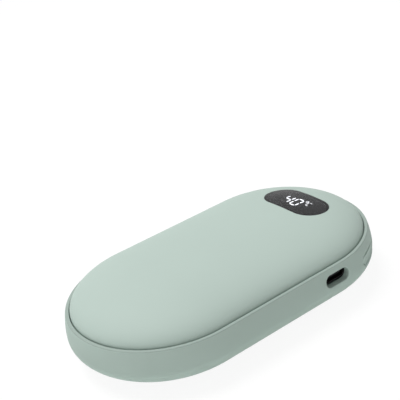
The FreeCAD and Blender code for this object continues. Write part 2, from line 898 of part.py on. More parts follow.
def foam_pads():
    """Soft strips on the tops of the cells, against the heating film under the cover."""
    pads = []
    keep = below_dome(cover_wall + heater_stack + touch_gap)
    for place in (-cell_y, cell_y):
        low = (heater_x - heater_length / 2, place - pad_width / 2, cell_z + cell_radius)
        high = (heater_x + heater_length / 2, place + pad_width / 2, cell_z + cell_radius + pad_thickness)
        pads.append(block(low, high).common(keep))
    return Part.makeCompound(pads)


def plate_outline(margin):
    """Tall block with rounded corners over a heating film, larger by margin on every side."""
    length = heater_length + 2 * margin
    width = heater_width + 2 * margin
    shape = block((heater_x - length / 2, -width / 2, 0), (heater_x + length / 2, width / 2, crown_height))
    upright = [edge for edge in shape.Edges if edge.BoundBox.ZLength > seam_height]
    return shape.makeFillet(heater_corner + margin, upright)


def heating_layers(surface, wall):
    """Spreader and heating film that follow a curved wall from the inside."""
    spreader_start = wall + touch_gap
    spreader_end = spreader_start + spreader_thickness
    film_start = spreader_end + touch_gap
    film_end = film_start + heater_thickness
    spreader = plate_outline(spreader_margin).common(surface(spreader_start)).cut(surface(spreader_end))
    film = plate_outline(0).common(surface(film_start)).cut(surface(film_end))
    return spreader, film


def lower_half(shape):
    """Part of a lining below the belt, which leaves out what the lining's top would close."""
    return shape.common(block((-body_length, -body_width, 0), (body_length, body_width, belt_height)))


def heater_leads():
    """Lead pairs of the two films: one drops in front of the board's light box, one rises under the board."""
    start = heater_x + heater_length / 2 - heater_lead_overlap
    radius = heater_lead_diameter / 2
    high = crown_height - cover_wall - heater_stack - radius - front_lead_drop
    low = shell_wall + heater_stack + radius + touch_gap
    front = []
    rear = []
    for side in pair_shares:
        y = side * front_lead_spread
        front.append(wire([(start, y, high), (front_lead_x, y, high), (front_lead_x, y, board_top)],
                          heater_lead_diameter, lead_bend))
        y = side * rear_lead_spread
        rear.append(wire([(start, y, low), (rear_lead_x, y, low), (rear_lead_x, y, board_bottom)],
                         heater_lead_diameter, lead_bend))
    return Part.makeCompound(front), Part.makeCompound(rear)


def thermistor():
    """Temperature sensor bead on the lower film, with its two leads."""
    radius = thermistor_diameter / 2
    z = shell_wall + heater_stack + touch_gap + radius
    bead = Part.makeSphere(radius, Vector(heater_x, 0, z))
    for side in pair_shares:
        y = side * thermistor_lead_spread
        points = [(heater_x, y, z), (thermistor_lead_x, y, z), (thermistor_lead_x, y, board_bottom)]
        bead = bead.fuse(wire(points, thermistor_lead_diameter, lead_bend))
    return bead


def chip(place, length, width, lead_count):
    """Chip under the board, with a row of leads on both long sides."""
    x, y = place
    low = board_bottom - chip_height
    body = block((x - length / 2, y - width / 2, low), (x + length / 2, y + width / 2, board_bottom))
    start = x + chip_lead_pitch / 2 - lead_count * chip_lead_pitch / 2
    reach = width / 2 + chip_lead_length
    legs = []
    for index in range(lead_count):
        left = start + index * chip_lead_pitch - chip_lead_width / 2
        legs.append(block((left, y - reach, board_bottom - chip_lead_width),
                          (left + chip_lead_width, y + reach, board_bottom)))
    return body.multiFuse(legs).removeSplitter()


def power_coil():
    """Inductor under the board, square with rounded corners."""
    x = board_end - coil_inset
    half = coil_side / 2
    shape = block((x - half, -half, board_bottom - coil_height), (x + half, half, board_bottom))
    upright = [edge for edge in shape.Edges if edge.BoundBox.ZLength > coil_height / 2]
    return shape.makeFillet(coil_corner, upright)


def board_capacitors():
    """Small capacitors under the board."""
    pieces = []
    for step, row in capacitor_step_shares:
        x = board_start + capacitor_inset + step * capacitor_step
        y = capacitor_y + row * capacitor_row
        low = (x - capacitor_length / 2, y - capacitor_width / 2, board_bottom - capacitor_height)
        high = (x + capacitor_length / 2, y + capacitor_width / 2, board_bottom)
        pieces.append(block(low, high))
    return Part.makeCompound(pieces)


def build():
    """Make and write every piece."""
    save("rear_shell", rear_shell())
    save("front_cover", front_cover())
    save("display_lens", display_lens())
    save("lens_tape", lens_tape())
    frame, lit, unlit = display_pieces()
    save("display_frame", frame)
    save("lit_segments", lit)
    save("unlit_segments", unlit)
    save("display_leds", display_leds())
    save("main_board", main_board())
    save("board_screws", board_screws())
    shell, core, contacts = socket_pieces()
    save("socket_shell", shell)
    save("socket_core", core)
    save("socket_contacts", contacts)
    save("power_button", power_button())
    switch, plunger = switch_pieces()
    save("switch_body", switch)
    save("switch_plunger", plunger)
    save("strap_pin", strap_pin_shape(0))
    save("left_cell", battery_cell(1))
    save("right_cell", battery_cell(-1))
    save("positive_strip", positive_strip())
    save("negative_strip", cell_strip(cell_start - strip_thickness))
    save("negative_lead", negative_lead())
    save("foam_pads", foam_pads())
    spreader, film = heating_layers(below_dome, cover_wall)
    save("front_spreader", spreader)
    save("front_heater", film)
    spreader, film = heating_layers(inside_tub, shell_wall)
    save("rear_spreader", lower_half(spreader))
    save("rear_heater", lower_half(film))
    front, rear = heater_leads()
    save("front_heater_leads", front)
    save("rear_heater_leads", rear)
    save("thermistor", thermistor())
    controller = chip(controller_place, controller_length, controller_width, controller_lead_count)
    save("controller_chip", controller)
    save("charger_chip", chip(charger_place, charger_length, charger_width, charger_lead_count))
    save("power_coil", power_coil())
    save("board_capacitors", board_capacitors())


build()
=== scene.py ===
# %% [markdown]
# # A rechargeable hand warmer
# A palm-sized warmer lies on its back: a soft-touch tub, a domed cover set inside the tub's lip, and a
# smoked window with a lit reading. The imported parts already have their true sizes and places. This
# lesson gives them their surfaces, remakes the few pieces that gain from softer edges, and sets up the
# light and the camera.

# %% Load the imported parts
import math
import bmesh
import bpy
from mathutils import Matrix, Vector
from mathutils.bvhtree import BVHTree


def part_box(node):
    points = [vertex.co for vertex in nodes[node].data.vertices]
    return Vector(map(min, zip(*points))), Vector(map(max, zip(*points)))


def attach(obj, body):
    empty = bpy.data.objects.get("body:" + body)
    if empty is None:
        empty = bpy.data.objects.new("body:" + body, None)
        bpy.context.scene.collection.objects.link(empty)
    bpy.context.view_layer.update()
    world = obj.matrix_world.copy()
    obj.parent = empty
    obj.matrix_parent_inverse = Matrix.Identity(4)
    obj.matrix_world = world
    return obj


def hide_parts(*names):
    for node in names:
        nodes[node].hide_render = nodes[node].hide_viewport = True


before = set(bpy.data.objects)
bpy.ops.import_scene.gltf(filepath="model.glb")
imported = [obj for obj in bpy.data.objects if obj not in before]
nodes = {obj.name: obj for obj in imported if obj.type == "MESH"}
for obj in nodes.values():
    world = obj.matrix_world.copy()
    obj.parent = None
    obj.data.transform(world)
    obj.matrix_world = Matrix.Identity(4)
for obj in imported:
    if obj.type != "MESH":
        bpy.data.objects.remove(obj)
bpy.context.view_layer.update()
scene = bpy.context.scene
millimetre = 0.001

# %% [markdown]
# ## The camera
# A studio camera with a longer lens looks down on the near long side. It is turned a little about its
# own axis, so that the warmer lies across the picture. An empty to aim at would do as well, but three
# angles and a place say all of it in numbers that can be read, so the camera's axes are worked out from
# them.

# %% Place the camera
camera_azimuth = math.radians(-32.173)
camera_elevation = math.radians(26.151)
camera_roll = math.radians(-10.165)
camera_place = Vector((-132.14, -204.15, 158.97)) * millimetre
camera_lens = 78.871
nearest_seen = 10 * millimetre

back = Vector((math.sin(camera_azimuth) * math.cos(camera_elevation),
               -math.cos(camera_azimuth) * math.cos(camera_elevation),
               math.sin(camera_elevation)))
level = Vector((0, 0, 1)).cross(back).normalized()
right = level * math.cos(camera_roll) + back.cross(level) * math.sin(camera_roll)
axes = Matrix((right, back.cross(right), back)).transposed()
camera_data = bpy.data.cameras.new("studio_camera")
camera_data.lens = camera_lens
camera_data.clip_start = nearest_seen
camera = bpy.data.objects.new("studio_camera", camera_data)
camera.matrix_world = Matrix.Translation(camera_place) @ axes.to_4x4()
scene.collection.objects.link(camera)
scene.camera = camera
scene.view_settings.view_transform = "Standard"
print("camera looks along", tuple(round(-c, 3) for c in back))

# %% [markdown]
# ## Writing materials as sums
# A material is a tree of nodes, and most of its nodes only do arithmetic. They could be added one by one
# and linked by name, but a small class that wraps one socket lets the arithmetic be written as a Python
# expression. One more method adds any other kind of node, so a whole finish reads as a few lines.


# %% A socket that can be added and multiplied
class Wire:
    """One output socket in a tree of nodes. Arithmetic on it adds Math nodes."""

    def __init__(self, tree, socket=None):
        self.tree = tree
        self.socket = socket

    def add(self, kind, settings=None, output=0, **sockets):
        """Add a node, set it up, feed its sockets and return one of its outputs.

        A socket goes by its name, with _ for each space, or by its number after a _.
        """
        made = self.tree.nodes.new("ShaderNode" + kind)
        for name, value in (settings or {}).items():
            setattr(made, name, value)
        for name, value in sockets.items():
            key = int(name[1:]) if name[1:].isdigit() else name.replace("_", " ")
            self.feed(made.inputs[key], value)
        return Wire(self.tree, made.outputs[output])

    def feed(self, socket, value):
        """Link a wire to a socket, or set the socket's own value."""
        if isinstance(value, Wire):
            self.tree.links.new(value.socket, socket)
        else:
            socket.default_value = value

    def math(self, operation, first, second=0.0):
        """One Math node on wires or plain numbers."""
        return self.add("Math", {"operation": operation}, _0=first, _1=second)

    def __add__(self, other):
        return self.math("ADD", self, other)

    def __sub__(self, other):
        return self.math("SUBTRACT", self, other)

    def __rsub__(self, other):
        return self.math("SUBTRACT", other, self)

    def __mul__(self, other):
        return self.math("MULTIPLY", self, other)

    def __truediv__(self, other):
        return self.math("DIVIDE", self, other)

    def __rtruediv__(self, other):
        return self.math("DIVIDE", other, self)

    def __abs__(self):
        return self.math("ABSOLUTE", self)

    __radd__ = __add__
    __rmul__ = __mul__


def new_material(name, **constants):
    """A material, its Principled node with constant sockets set, and a wire to build from."""
    material = bpy.data.materials.new(name)
    material.use_nodes = True
    shader = material.node_tree.nodes["Principled BSDF"]
    for socket, value in constants.items():
        shader.inputs[socket.replace("_", " ")].default_value = value
    return material, shader, Wire(material.node_tree)


def paint(wire, shader, **sockets):
    """Feed the shader's varying sockets."""
    for socket, value in sockets.items():
        wire.feed(shader.inputs[socket.replace("_", " ")], value)


print("a wire adds its own nodes")

# %% [markdown]
# ## Studio light
# One softbox hangs high behind the warmer and to the left, so the cover is bright and the near wall
# falls into half shade. A weak one stands low in front on the left and rounds the near end. The rest is
# bounce: the pale floor lights the wall from below, and a weak white sky stands for the studio's walls.
# Rays that show the floor or the sky to the eye, in a gloss or through glass, meet plain white instead,
# so that the picture has a white ground and no more light falls on the object for it.


# %% Floor, sky and softboxes
def seen(wire):
    """1 for rays that show a surface, also in a gloss or through glass. 0 for rays that only light."""
    eye, gloss, glass = (wire.add("LightPath", output="Is " + kind + " Ray")
                         for kind in ("Camera", "Glossy", "Transmission"))
    return wire.math("MAXIMUM", eye, wire.math("MAXIMUM", gloss, glass))


white = (1.0, 1.0, 1.0, 1.0)
bounce_white = (0.91, 0.95, 0.93, 1.0)
shadow_grey = (0.12, 0.12, 0.12, 1.0)
floor_glow = 0.91
floor_half = 3.0
floor_drop = 0.02 * millimetre


def white_floor():
    """Pale floor that bounces light, shows white with a faint shadow, and is clear from below."""
    dull = {"Roughness": 0.9, "Specular_IOR_Level": 0.0}
    material, shader, wire = new_material("white_floor", Base_Color=bounce_white, **dull)
    shown = wire.add("BsdfPrincipled", Base_Color=shadow_grey, Emission_Color=white,
                     Emission_Strength=floor_glow, **dull)
    mixed = wire.add("MixShader", _0=seen(wire), _1=Wire(wire.tree, shader.outputs[0]), _2=shown)
    below = wire.add("NewGeometry", output="Backfacing")
    sided = wire.add("MixShader", _0=below, _1=mixed, _2=wire.add("BsdfTransparent"))
    wire.feed(wire.tree.nodes["Material Output"].inputs["Surface"], sided)
    return material


def softbox(name, place, size, power):
    """Square area lamp that faces the middle of the warmer's base."""
    lamp = bpy.data.lights.new(name, "AREA")
    lamp.size = size
    lamp.energy = power
    made = bpy.data.objects.new(name, lamp)
    made.location = place
    made.rotation_euler = Vector(place).to_track_quat("Z", "Y").to_euler()
    scene.collection.objects.link(made)


floor_mesh = bmesh.new()
bmesh.ops.create_grid(floor_mesh, x_segments=1, y_segments=1, size=floor_half)
bmesh.ops.translate(floor_mesh, verts=floor_mesh.verts, vec=(0, 0, -floor_drop))
floor_data = bpy.data.meshes.new("floor")
floor_mesh.to_mesh(floor_data)
floor_mesh.free()
floor_data.materials.append(white_floor())
floor = bpy.data.objects.new("floor", floor_data)
scene.collection.objects.link(floor)

softbox("key", place=(-0.14, 0.22, 0.86), size=0.5, power=6.3)
softbox("fill", place=(-0.45, -0.45, 0.08), size=0.2, power=0.3)
sky_light = 0.265
world = bpy.data.worlds.new("studio")
world.use_nodes = True
scene.world = world
sky = Wire(world.node_tree)
dim = sky.add("Background", Color=white, Strength=sky_light)
plain = sky.add("Background", Color=white, Strength=1.0)
sky.feed(world.node_tree.nodes["World Output"].inputs["Surface"],
         sky.add("MixShader", _0=seen(sky), _1=dim, _2=plain))
print("lamps:", [lamp.name for lamp in bpy.data.lights])

# %% [markdown]
# ## Soft-touch plastic
# The housing is moulded in a pale grey-green plastic with a fine grain that you feel more than see.
# Painted texture maps could show that, but they would need an unwrap. Noise read from the part's own
# place in space needs none: a fine noise gives the grain its relief, and a broad one lets colour and
# gloss drift a little, as a sprayed soft-touch coat does. The tub's lip, just below its full height, is
# given painted shade: its colour is made a shade darker there.


# %% Soft-touch plastic
def place_of(wire, stretch=None):
    """The surface point in the part's own frame, in metres, squeezed along some axes."""
    point = wire.add("TexCoord", output="Object")
    return wire.add("Mapping", Vector=point, Scale=stretch) if stretch else point


def noise(wire, size, detail=2.0, roughness=0.5, stretch=None):
    """Soft random grey, with blotches about size across."""
    return wire.add("TexNoise", Vector=place_of(wire, stretch), Scale=1 / size,
                    Detail=detail, Roughness=roughness)


def blend(wire, share, first, second):
    """Colour between two colours, by a share from 0 to 1. A colour may itself be a wire."""
    first, second = (c if isinstance(c, Wire) else (*c, 1.0) for c in (first, second))
    return wire.add("Mix", {"data_type": "RGBA"}, output=2, _0=share, _6=first, _7=second)


def relief(wire, height, depth):
    """Shading normal of a grey height whose full depth is given in metres."""
    return wire.add("Bump", Height=height, Distance=depth)


def shades(colour, spread):
    """A darker and a paler neighbour of a colour."""
    return tuple(c * (1 - spread) for c in colour), tuple(c * (1 + spread) for c in colour)


def dress(material, *names):
    """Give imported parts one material."""
    for name in names:
        nodes[name].data.materials.clear()
        nodes[name].data.materials.append(material)
    print(material.name, "on", ", ".join(names))


def along(wire, axis):
    """One coordinate of the surface point, in metres."""
    return wire.add("SeparateXYZ", output=axis, Vector=place_of(wire))


def step(wire, value, low, high):
    """0 below low, 1 above high and a soft rise between them."""
    return wire.add("MapRange", {"interpolation_type": "SMOOTHSTEP"}, Value=value,
                    From_Min=low, From_Max=high)


def box_of(name):
    """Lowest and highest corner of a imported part, as vectors."""
    return tuple(Vector(corner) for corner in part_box(name))


# Painted shade on the tub's lip: how far below the top it starts, how softly it sets in, and how much
# darker it makes the colour.
lip_depth = 0.36 * millimetre
lip_fade = 0.2 * millimetre
painted_lip_darkening = 0.26


def soft_touch(name, colour, painted_shade_from=None):
    """Matte coat over a fine spark-eroded grain. Above a height, painted shade darkens its colour."""
    material, shader, wire = new_material(name, Specular_IOR_Level=0.25)
    drift = noise(wire, 18 * millimetre, detail=3)
    grain = noise(wire, 0.16 * millimetre, detail=3, roughness=0.6)
    coat = blend(wire, drift * 0.7 + grain * 0.3, *shades(colour, 0.03))
    # Painted shade: above this height the colour turns darker along the tub's lip.
    if painted_shade_from is not None:
        painted_shade_mask = step(wire, along(wire, 2), painted_shade_from, painted_shade_from + lip_fade)
        coat = blend(wire, painted_shade_mask, coat, shades(colour, painted_lip_darkening)[0])
    paint(wire, shader,
          Base_Color=coat,
          Roughness=0.56 + drift * 0.06 + grain * 0.06,
          Normal=relief(wire, grain, 0.006 * millimetre))
    return material


sage = (0.501, 0.606, 0.554)
tub_top = box_of("rear_shell")[1].z
dress(soft_touch("sage_soft_touch", sage), "front_cover", "power_button")
# The tub's material carries the painted shade along its lip.
dress(soft_touch("sage_soft_touch_tub_painted_lip", sage, tub_top - lip_depth), "rear_shell")

# %% [markdown]
# ## The smoked lens
# The window is a thin pill of smoked plastic that lies flush in the dome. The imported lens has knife
# edges, and a polished moulding never has: its rim catches a thin line of light. So the lens is modelled
# again. One spoke is spun into half a disc, the straight half is drawn out from it, and a mirror makes
# the other half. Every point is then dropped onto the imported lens, so the new one follows the dome.


# %% Model the lens
tiny = 0.001 * millimetre


def moved(made):
    """The vertices among the things that an operator made."""
    return [part for part in made["geom"] if isinstance(part, bmesh.types.BMVert)]


def drop_onto(name):
    """A function that gives the height of a part's top above a point, also just off its rim."""
    data = nodes[name].data
    surface = BVHTree.FromPolygons([v.co for v in data.vertices], [p.vertices for p in data.polygons])
    above = box_of(name)[1].z + millimetre
    inner, outer = 0.94, 0.97

    def touch(point):
        """Height of the top right under a point."""
        return surface.ray_cast((point.x, point.y, above), (0, 0, -1))[0].z

    def height(point, axis):
        """Height at a point: the slope between two places inside the rim, carried on to it."""
        return 2 * touch(axis.lerp(point, outer)) - touch(axis.lerp(point, inner))

    return height


def lens_plan(low, high):
    """Flat pill in plan, its length along Y, as a sheet of even faces."""
    spoke_cuts, arc_steps, rail_cuts = 9, 36, 9
    radius = (high.x - low.x) / 2
    hub = Vector(((low.x + high.x) / 2, high.y - radius, 0))
    mesh = bmesh.new()
    spoke = mesh.edges.new((mesh.verts.new(hub), mesh.verts.new(hub + Vector((radius, 0, 0)))))
    bmesh.ops.subdivide_edges(mesh, edges=[spoke], cuts=spoke_cuts)
    bmesh.ops.spin(mesh, geom=mesh.verts[:] + mesh.edges[:], cent=hub, axis=(0, 0, 1),
                   angle=math.pi, steps=arc_steps)
    bmesh.ops.remove_doubles(mesh, verts=mesh.verts, dist=tiny)
    chord = [edge for edge in mesh.edges if all(abs(v.co.y - hub.y) < tiny for v in edge.verts)]
    drawn = moved(bmesh.ops.extrude_edge_only(mesh, edges=chord))
    bmesh.ops.translate(mesh, verts=drawn, vec=(0, -hub.y, 0))
    rails = [edge for edge in mesh.edges
             if abs(edge.verts[0].co.y - edge.verts[1].co.y) > hub.y - tiny]
    bmesh.ops.subdivide_edges(mesh, edges=rails, cuts=rail_cuts, use_grid_fill=True)
    bmesh.ops.mirror(mesh, geom=mesh.verts[:] + mesh.edges[:] + mesh.faces[:],
                     matrix=Matrix.Identity(4), merge_dist=tiny, axis="Y")
    return mesh, hub


def lens_mesh(thickness, rim):
    """Closed lens that follows the dome, with a rounded upper rim."""
    facing_up, facing_out = 0.5, 0.3
    mesh, hub = lens_plan(*box_of("display_lens"))
    height = drop_onto("display_lens")
    for vertex in mesh.verts:
        axis = Vector((hub.x, max(-hub.y, min(hub.y, vertex.co.y)), 0))
        vertex.co.z = height(vertex.co, axis)
    drawn = moved(bmesh.ops.extrude_face_region(mesh, geom=mesh.faces[:]))
    bmesh.ops.translate(mesh, verts=drawn, vec=(0, 0, -thickness))
    bmesh.ops.recalc_face_normals(mesh, faces=mesh.faces)
    edge_of_top = [edge for edge in mesh.edges if len(edge.link_faces) == 2
                   and max(face.normal.z for face in edge.link_faces) > facing_up
                   and abs(min(face.normal.z for face in edge.link_faces)) < facing_out]
    bmesh.ops.bevel(mesh, geom=edge_of_top, offset=rim, offset_type="OFFSET", segments=3, profile=0.5,
                    affect="EDGES", material=-1)
    return mesh


sharp_from = math.radians(38)


def add_piece(name, mesh, material, node):
    """Make a piece of a bmesh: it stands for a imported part, rides on the housing and has its slot."""
    for face in mesh.faces:
        face.smooth = True
    data = bpy.data.meshes.new(name)
    mesh.to_mesh(data)
    mesh.free()
    data.set_sharp_from_angle(angle=sharp_from)
    data.materials.append(material)
    piece = bpy.data.objects.new(name, data)
    scene.collection.objects.link(piece)
    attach(piece, "housing")
    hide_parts(node)
    print(name, "has", len(data.polygons), "faces and stands for", node)
    return piece


def smoked(name):
    """Smoked plastic under a coat against glare, which leaves a little grey on its skin."""
    material, shader, wire = new_material(name, Transmission_Weight=0.93, IOR=1.14)
    haze = noise(wire, 6 * millimetre)
    paint(wire, shader,
          Base_Color=blend(wire, haze, (0.28, 0.28, 0.29), (0.31, 0.31, 0.32)),
          Roughness=0.03 + haze * 0.02)
    return material


lens_thickness = 0.5 * millimetre
lens_rim = 0.1 * millimetre
add_piece("smoked_window", lens_mesh(lens_thickness, lens_rim), smoked("smoked_plastic"),
          "display_lens")

# %% [markdown]
# ## The lit reading
# Under the lens lies a black light box. Each stroke of the figures is a small bar of milky plastic, lit
# from below where the figure needs it and dark where it does not. The mask over a real display lets out
# less than the whole bar, so the lit bars are copied and narrowed about their middles. An emission
# colour gives them their own light, so they show white through the smoke.


# %% Light box, strokes and light chips
def moulded(name, colour, roughness=0.5, grain_size=0.25 * millimetre, gloss=0.5):
    """Plain moulding with a light grain."""
    material, shader, wire = new_material(name, Specular_IOR_Level=gloss)
    grain = noise(wire, grain_size, detail=3, roughness=0.6)
    drift = noise(wire, 8 * millimetre)
    paint(wire, shader,
          Base_Color=blend(wire, drift, *shades(colour, 0.12)),
          Roughness=roughness + grain * 0.12,
          Normal=relief(wire, grain, 0.008 * millimetre))
    return material


def merged_copy(name):
    """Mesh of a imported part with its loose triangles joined."""
    mesh = bmesh.new()
    mesh.from_mesh(nodes[name].data)
    bmesh.ops.remove_doubles(mesh, verts=mesh.verts, dist=tiny)
    return mesh


def islands(mesh):
    """The vertices of each separate solid in a mesh."""
    left = set(mesh.verts)
    groups = []
    while left:
        group = [left.pop()]
        for vertex in group:
            near = {edge.other_vert(vertex) for edge in vertex.link_edges} & left
            group.extend(near)
            left -= near
        groups.append(group)
    return groups


def corners_of(group):
    """Lowest and highest corner of some vertices."""
    sides = list(zip(*(vertex.co for vertex in group)))
    return Vector(map(min, sides)), Vector(map(max, sides))


def slim_strokes(share):
    """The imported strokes, each narrowed about its own middle line. Round ones keep their size."""
    round_within = 0.1 * millimetre
    mesh = merged_copy("lit_segments")
    for group in islands(mesh):
        low, high = corners_of(group)
        size = high - low
        if abs(size.x - size.y) > round_within:
            narrow = (share, 1.0, 1.0) if size.x < size.y else (1.0, share, 1.0)
            bmesh.ops.scale(mesh, verts=group, vec=narrow, space=Matrix.Translation((low + high) / -2))
    return mesh


def lit_bar(name, strength, small_from, fade):
    """Milky bar that lets light out at its top. Small figures beyond a place along Y get less of it."""
    material, shader, wire = new_material(name, Emission_Strength=strength, Roughness=0.4)
    glow = noise(wire, 0.8 * millimetre)
    full_light = blend(wire, glow, (0.90, 0.95, 1.0), (1.0, 1.0, 1.0))
    large = step(wire, along(wire, 1), small_from, small_from + fade)
    light = blend(wire, large, (0.66, 0.67, 0.68), full_light)
    up = wire.add("SeparateXYZ", output="Z", Vector=wire.add("NewGeometry", output="Normal"))
    paint(wire, shader,
          Base_Color=blend(wire, glow, (0.80, 0.82, 0.84), (0.88, 0.90, 0.92)),
          Emission_Color=blend(wire, step(wire, up, 0.4, 0.6), (0.0, 0.0, 0.0), light))
    return material


def phosphor(name):
    """Light chip: a pale body with specks of yellow phosphor."""
    material, shader, wire = new_material(name)
    speck = wire.add("TexVoronoi", Vector=place_of(wire), Scale=1 / (0.15 * millimetre))
    paint(wire, shader,
          Base_Color=blend(wire, speck, (0.85, 0.70, 0.18), (0.88, 0.86, 0.74)),
          Roughness=0.3 + speck * 0.3)
    return material


stroke_share = 0.64
stroke_light = 6.5
small_from = -2.5 * millimetre
small_fade = 0.1 * millimetre
dress(moulded("black_moulding", (0.018, 0.018, 0.019), roughness=0.6, gloss=0.15),
      "display_frame", "socket_core", "switch_body")
add_piece("lit_strokes", slim_strokes(stroke_share),
          lit_bar("lit_stroke", stroke_light, small_from, small_fade), "lit_segments")
dress(moulded("dark_stroke", (0.016, 0.016, 0.017), roughness=0.35), "unlit_segments")
dress(phosphor("light_chip"), "display_leds")
dress(moulded("black_adhesive", (0.014, 0.014, 0.014), roughness=0.8, grain_size=0.1 * millimetre,
              gloss=0.2), "lens_tape")

# %% [markdown]
# ## Plated metal
# The charging socket's sleeve is drawn from thin steel and plated, and so is the pin in the strap slot.
# Metal that was drawn or rolled has fine lines along the way it moved. Noise that is squeezed along one
# axis makes such lines, and they go into the gloss more than into the colour.


# %% Plated metal
def plated(name, colour, roughness, stretch, line_size=0.12 * millimetre):
    """Drawn or rolled metal with lines along the axis that stretch makes small."""
    material, shader, wire = new_material(name, Metallic=1.0)
    lines = noise(wire, line_size, detail=3, roughness=0.7, stretch=stretch)
    stain = noise(wire, 4 * millimetre)
    paint(wire, shader,
          Base_Color=blend(wire, lines * 0.6 + stain * 0.4, *shades(colour, 0.08)),
          Roughness=roughness + lines * 0.15,
          Normal=relief(wire, lines, 0.003 * millimetre))
    return material


squeeze = 0.05
along_x, along_y, along_z = (squeeze, 1.0, 1.0), (1.0, squeeze, 1.0), (1.0, 1.0, squeeze)
gold = (0.83, 0.65, 0.30)
dress(plated("steel_pin", (0.62, 0.62, 0.63), 0.25, along_z), "strap_pin")
dress(plated("gold_plate", gold, 0.2, along_y), "socket_contacts")

# %% [markdown]
# ## The socket's sleeve
# The sleeve is a thin pill-shaped tube whose mouth is rolled round, so that a plug slides in easily. A
# circle is split into two halves that are moved apart, drawn back into a tube and given a wall. Only
# then is the mouth's rim bevelled, so that inside and outside are rounded alike.


# %% Model the socket's sleeve
def sleeve_mesh(wall, rim):
    """Pill-shaped tube along Y with a rounded mouth towards -Y."""
    arc_steps = 32
    facing, aside = 0.9, 0.1
    low, high = box_of("socket_shell")
    middle = (low + high) / 2
    radius = (high.z - low.z) / 2
    apart = (high.x - low.x) / 2 - radius
    mesh = bmesh.new()
    bmesh.ops.create_circle(mesh, segments=arc_steps, radius=radius)
    for angle, axis in ((math.pi / arc_steps, "Z"), (math.pi / 2, "X")):
        bmesh.ops.rotate(mesh, verts=mesh.verts, cent=(0, 0, 0), matrix=Matrix.Rotation(angle, 3, axis))
    for side in (-1, 1):
        half = [vertex for vertex in mesh.verts if vertex.co.x * side > 0]
        bmesh.ops.translate(mesh, verts=half, vec=(side * apart, 0, 0))
    drawn = moved(bmesh.ops.extrude_edge_only(mesh, edges=mesh.edges[:]))
    bmesh.ops.translate(mesh, verts=drawn, vec=(0, high.y - low.y, 0))
    bmesh.ops.recalc_face_normals(mesh, faces=mesh.faces)
    bmesh.ops.solidify(mesh, geom=mesh.faces[:], thickness=wall)
    mouth = [edge for edge in mesh.edges if all(abs(v.co.y) < tiny for v in edge.verts)
             and max(abs(face.normal.y) for face in edge.link_faces) > facing
             and min(abs(face.normal.y) for face in edge.link_faces) < aside]
    bmesh.ops.bevel(mesh, geom=mouth, offset=rim, offset_type="OFFSET", segments=4, profile=0.5,
                    affect="EDGES", material=-1)
    bmesh.ops.translate(mesh, verts=mesh.verts, vec=(middle.x, low.y, middle.z))
    return mesh


sleeve_wall = 0.3 * millimetre
sleeve_rim = 0.12 * millimetre
black_plate = plated("black_plated_steel", (0.030, 0.029, 0.029), 0.32, along_y)
add_piece("socket_sleeve", sleeve_mesh(sleeve_wall, sleeve_rim), black_plate,
          "socket_shell")

# %% [markdown]
# ## The board's screws
# Four small pan-head screws hold the circuit board to its posts. A turner would cut the head and roll
# the thread, and the same two steps work here: a profile is spun into head and shank, and a small
# triangle is spun up the shank with a rise at every step. The cross in the head is marked out by an
# inset and four cuts, then pushed in.


# %% Model one screw and set four
def solids_of(name):
    """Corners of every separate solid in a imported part, in a fixed order."""
    mesh = merged_copy(name)
    corners = sorted((corners_of(group) for group in islands(mesh)), key=lambda pair: tuple(pair[0]))
    mesh.free()
    return corners


def spun_screw(mesh, outline):
    """Head and shank from a half outline of (radius, height) points. Returns the faces that close it."""
    points = [mesh.verts.new((radius, 0, height)) for radius, height in outline]
    for first, second in zip(points, points[1:]):
        mesh.edges.new((first, second))
    bmesh.ops.spin(mesh, geom=mesh.verts[:] + mesh.edges[:], cent=(0, 0, 0), axis=(0, 0, 1),
                   angle=2 * math.pi, steps=32, use_merge=True)
    rings = [edge for edge in mesh.edges if len(edge.link_faces) == 1]
    return bmesh.ops.edgeloop_fill(mesh, edges=rings)["faces"]


def push_cross(mesh, cap, reach, width, depth):
    """Press a cross of four arms, a little narrower at its bottom, into a round flat face."""
    bottom_share = 0.7
    corner = cap.verts[0].co.copy()
    bmesh.ops.inset_region(mesh, faces=[cap], thickness=corner.to_2d().length - reach,
                           use_even_offset=True)

    def inner():
        """Faces of the flat inside the inset."""
        return [face for face in mesh.faces
                if all(v.co.z > corner.z - tiny and v.co.to_2d().length < reach + tiny
                       for v in face.verts)]

    for normal in (Vector((1, 0, 0)), Vector((0, 1, 0))):
        for side in (-0.5, 0.5):
            faces = inner()
            rims = {part for face in faces for part in (*face.verts, *face.edges)}
            bmesh.ops.bisect_plane(mesh, geom=faces + list(rims), plane_co=normal * side * width,
                                   plane_no=normal)
    arms = [face for face in inner()
            if min(abs(c) for c in face.calc_center_median().to_2d()) < width / 2]
    pressed = moved(bmesh.ops.extrude_face_region(mesh, geom=arms))
    bmesh.ops.delete(mesh, geom=arms, context="FACES")
    bmesh.ops.translate(mesh, verts=pressed, vec=(0, 0, -depth))
    bmesh.ops.scale(mesh, verts=pressed, vec=(bottom_share, bottom_share, 1.0))


def roll_thread(mesh, core, crest, pitch, start, turns):
    """Triangular ridge that climbs round the shank, its foot sunk a little into the core."""
    turn_steps = 20
    foot = core * 0.96
    corners = [mesh.verts.new(point) for point in
               ((foot, 0, start), (crest, 0, start + pitch * 0.4), (foot, 0, start + pitch * 0.8))]
    sides = [mesh.edges.new((corners[index], corners[index - 1])) for index in range(3)]
    bmesh.ops.spin(mesh, geom=corners + sides, cent=(0, 0, 0), axis=(0, 0, 1),
                   angle=2 * math.pi * turns, steps=turn_steps * turns, dvec=(0, 0, pitch / turn_steps))
    bmesh.ops.holes_fill(mesh, edges=mesh.edges[:], sides=3)


